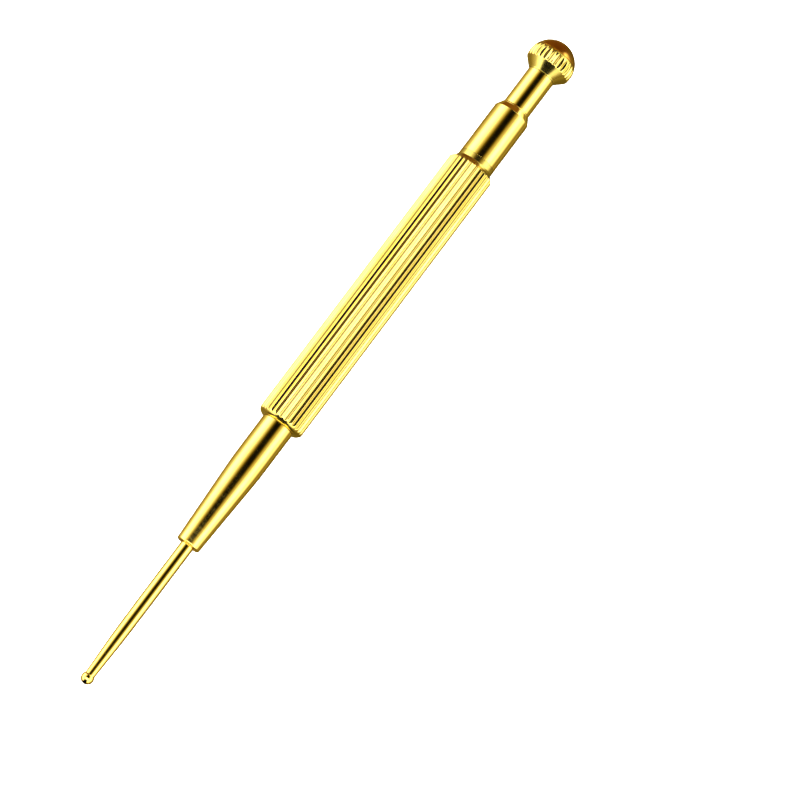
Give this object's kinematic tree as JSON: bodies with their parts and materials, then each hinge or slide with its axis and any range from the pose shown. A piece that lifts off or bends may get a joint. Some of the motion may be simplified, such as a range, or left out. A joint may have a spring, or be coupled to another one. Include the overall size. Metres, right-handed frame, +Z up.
{
  "type": "spring-loaded ball-tip probe",
  "caption": "Hand tool with a fine ball tip and a knurled end knob, each sprung, in a fluted metal grip.",
  "frame": {"origin": "on the surface the tool lies on, under the middle of its length", "axes": "+X along the tool from the ball tip to the knob, +Z up, -Z the crest of the grip it rests on"},
  "size_m": [0.1302, 0.0082, 0.0081],
  "materials": {
    "gold_plate": "mirror-polished yellow gold plating on turned brass",
    "dark_gold": "polished amber-brown gold on the domed end",
    "bare_brass": "turned, unplated",
    "bronze": "turned bearing bronze",
    "spring_steel": "bright drawn wire and zinc-plated nuts",
    "rubber": "matt black"
  },
  "bodies": {
    "handle": {"grip_barrel": "gold_plate", "nose_cone": "gold_plate", "nose_bush": "bronze", "front_bumper": "rubber", "spring_divider": "bare_brass", "divider_snap_ring": "spring_steel", "rear_collar": "gold_plate", "rear_bush": "gold_plate", "rear_bumper": "rubber", "front_spring": "spring_steel", "rear_spring": "spring_steel"},
    "probe": {"probe_rod": "gold_plate", "rod_flange": "bare_brass", "rod_lock_nut": "spring_steel"},
    "rear_follower": {"rear_spring_seat": "bare_brass", "rear_thrust_washer": "bronze"},
    "knob": {"spindle_nut": "spring_steel", "knob_stem": "gold_plate", "knob_ring": "gold_plate", "dome_cap": "dark_gold"}
  },
  "joints": [
    {"name": "probe_slide", "type": "slide", "parent": "handle", "child": "probe", "axis": [1, 0, 0], "range_m": [0, 0.006], "stiffness_N_per_m": 286, "springref_m": -0.0045, "deforming": ["front_spring"]},
    {"name": "knob_press", "type": "slide", "parent": "handle", "child": "rear_follower", "axis": [-1, 0, 0], "range_m": [0, 0.006], "stiffness_N_per_m": 487, "springref_m": -0.0045, "deforming": ["rear_spring"]},
    {"name": "knob_spin", "type": "hinge", "parent": "rear_follower", "child": "knob", "pos_m": [0.0584, 0, 0.00407], "axis": [1, 0, 0], "continuous": true}
  ]
}
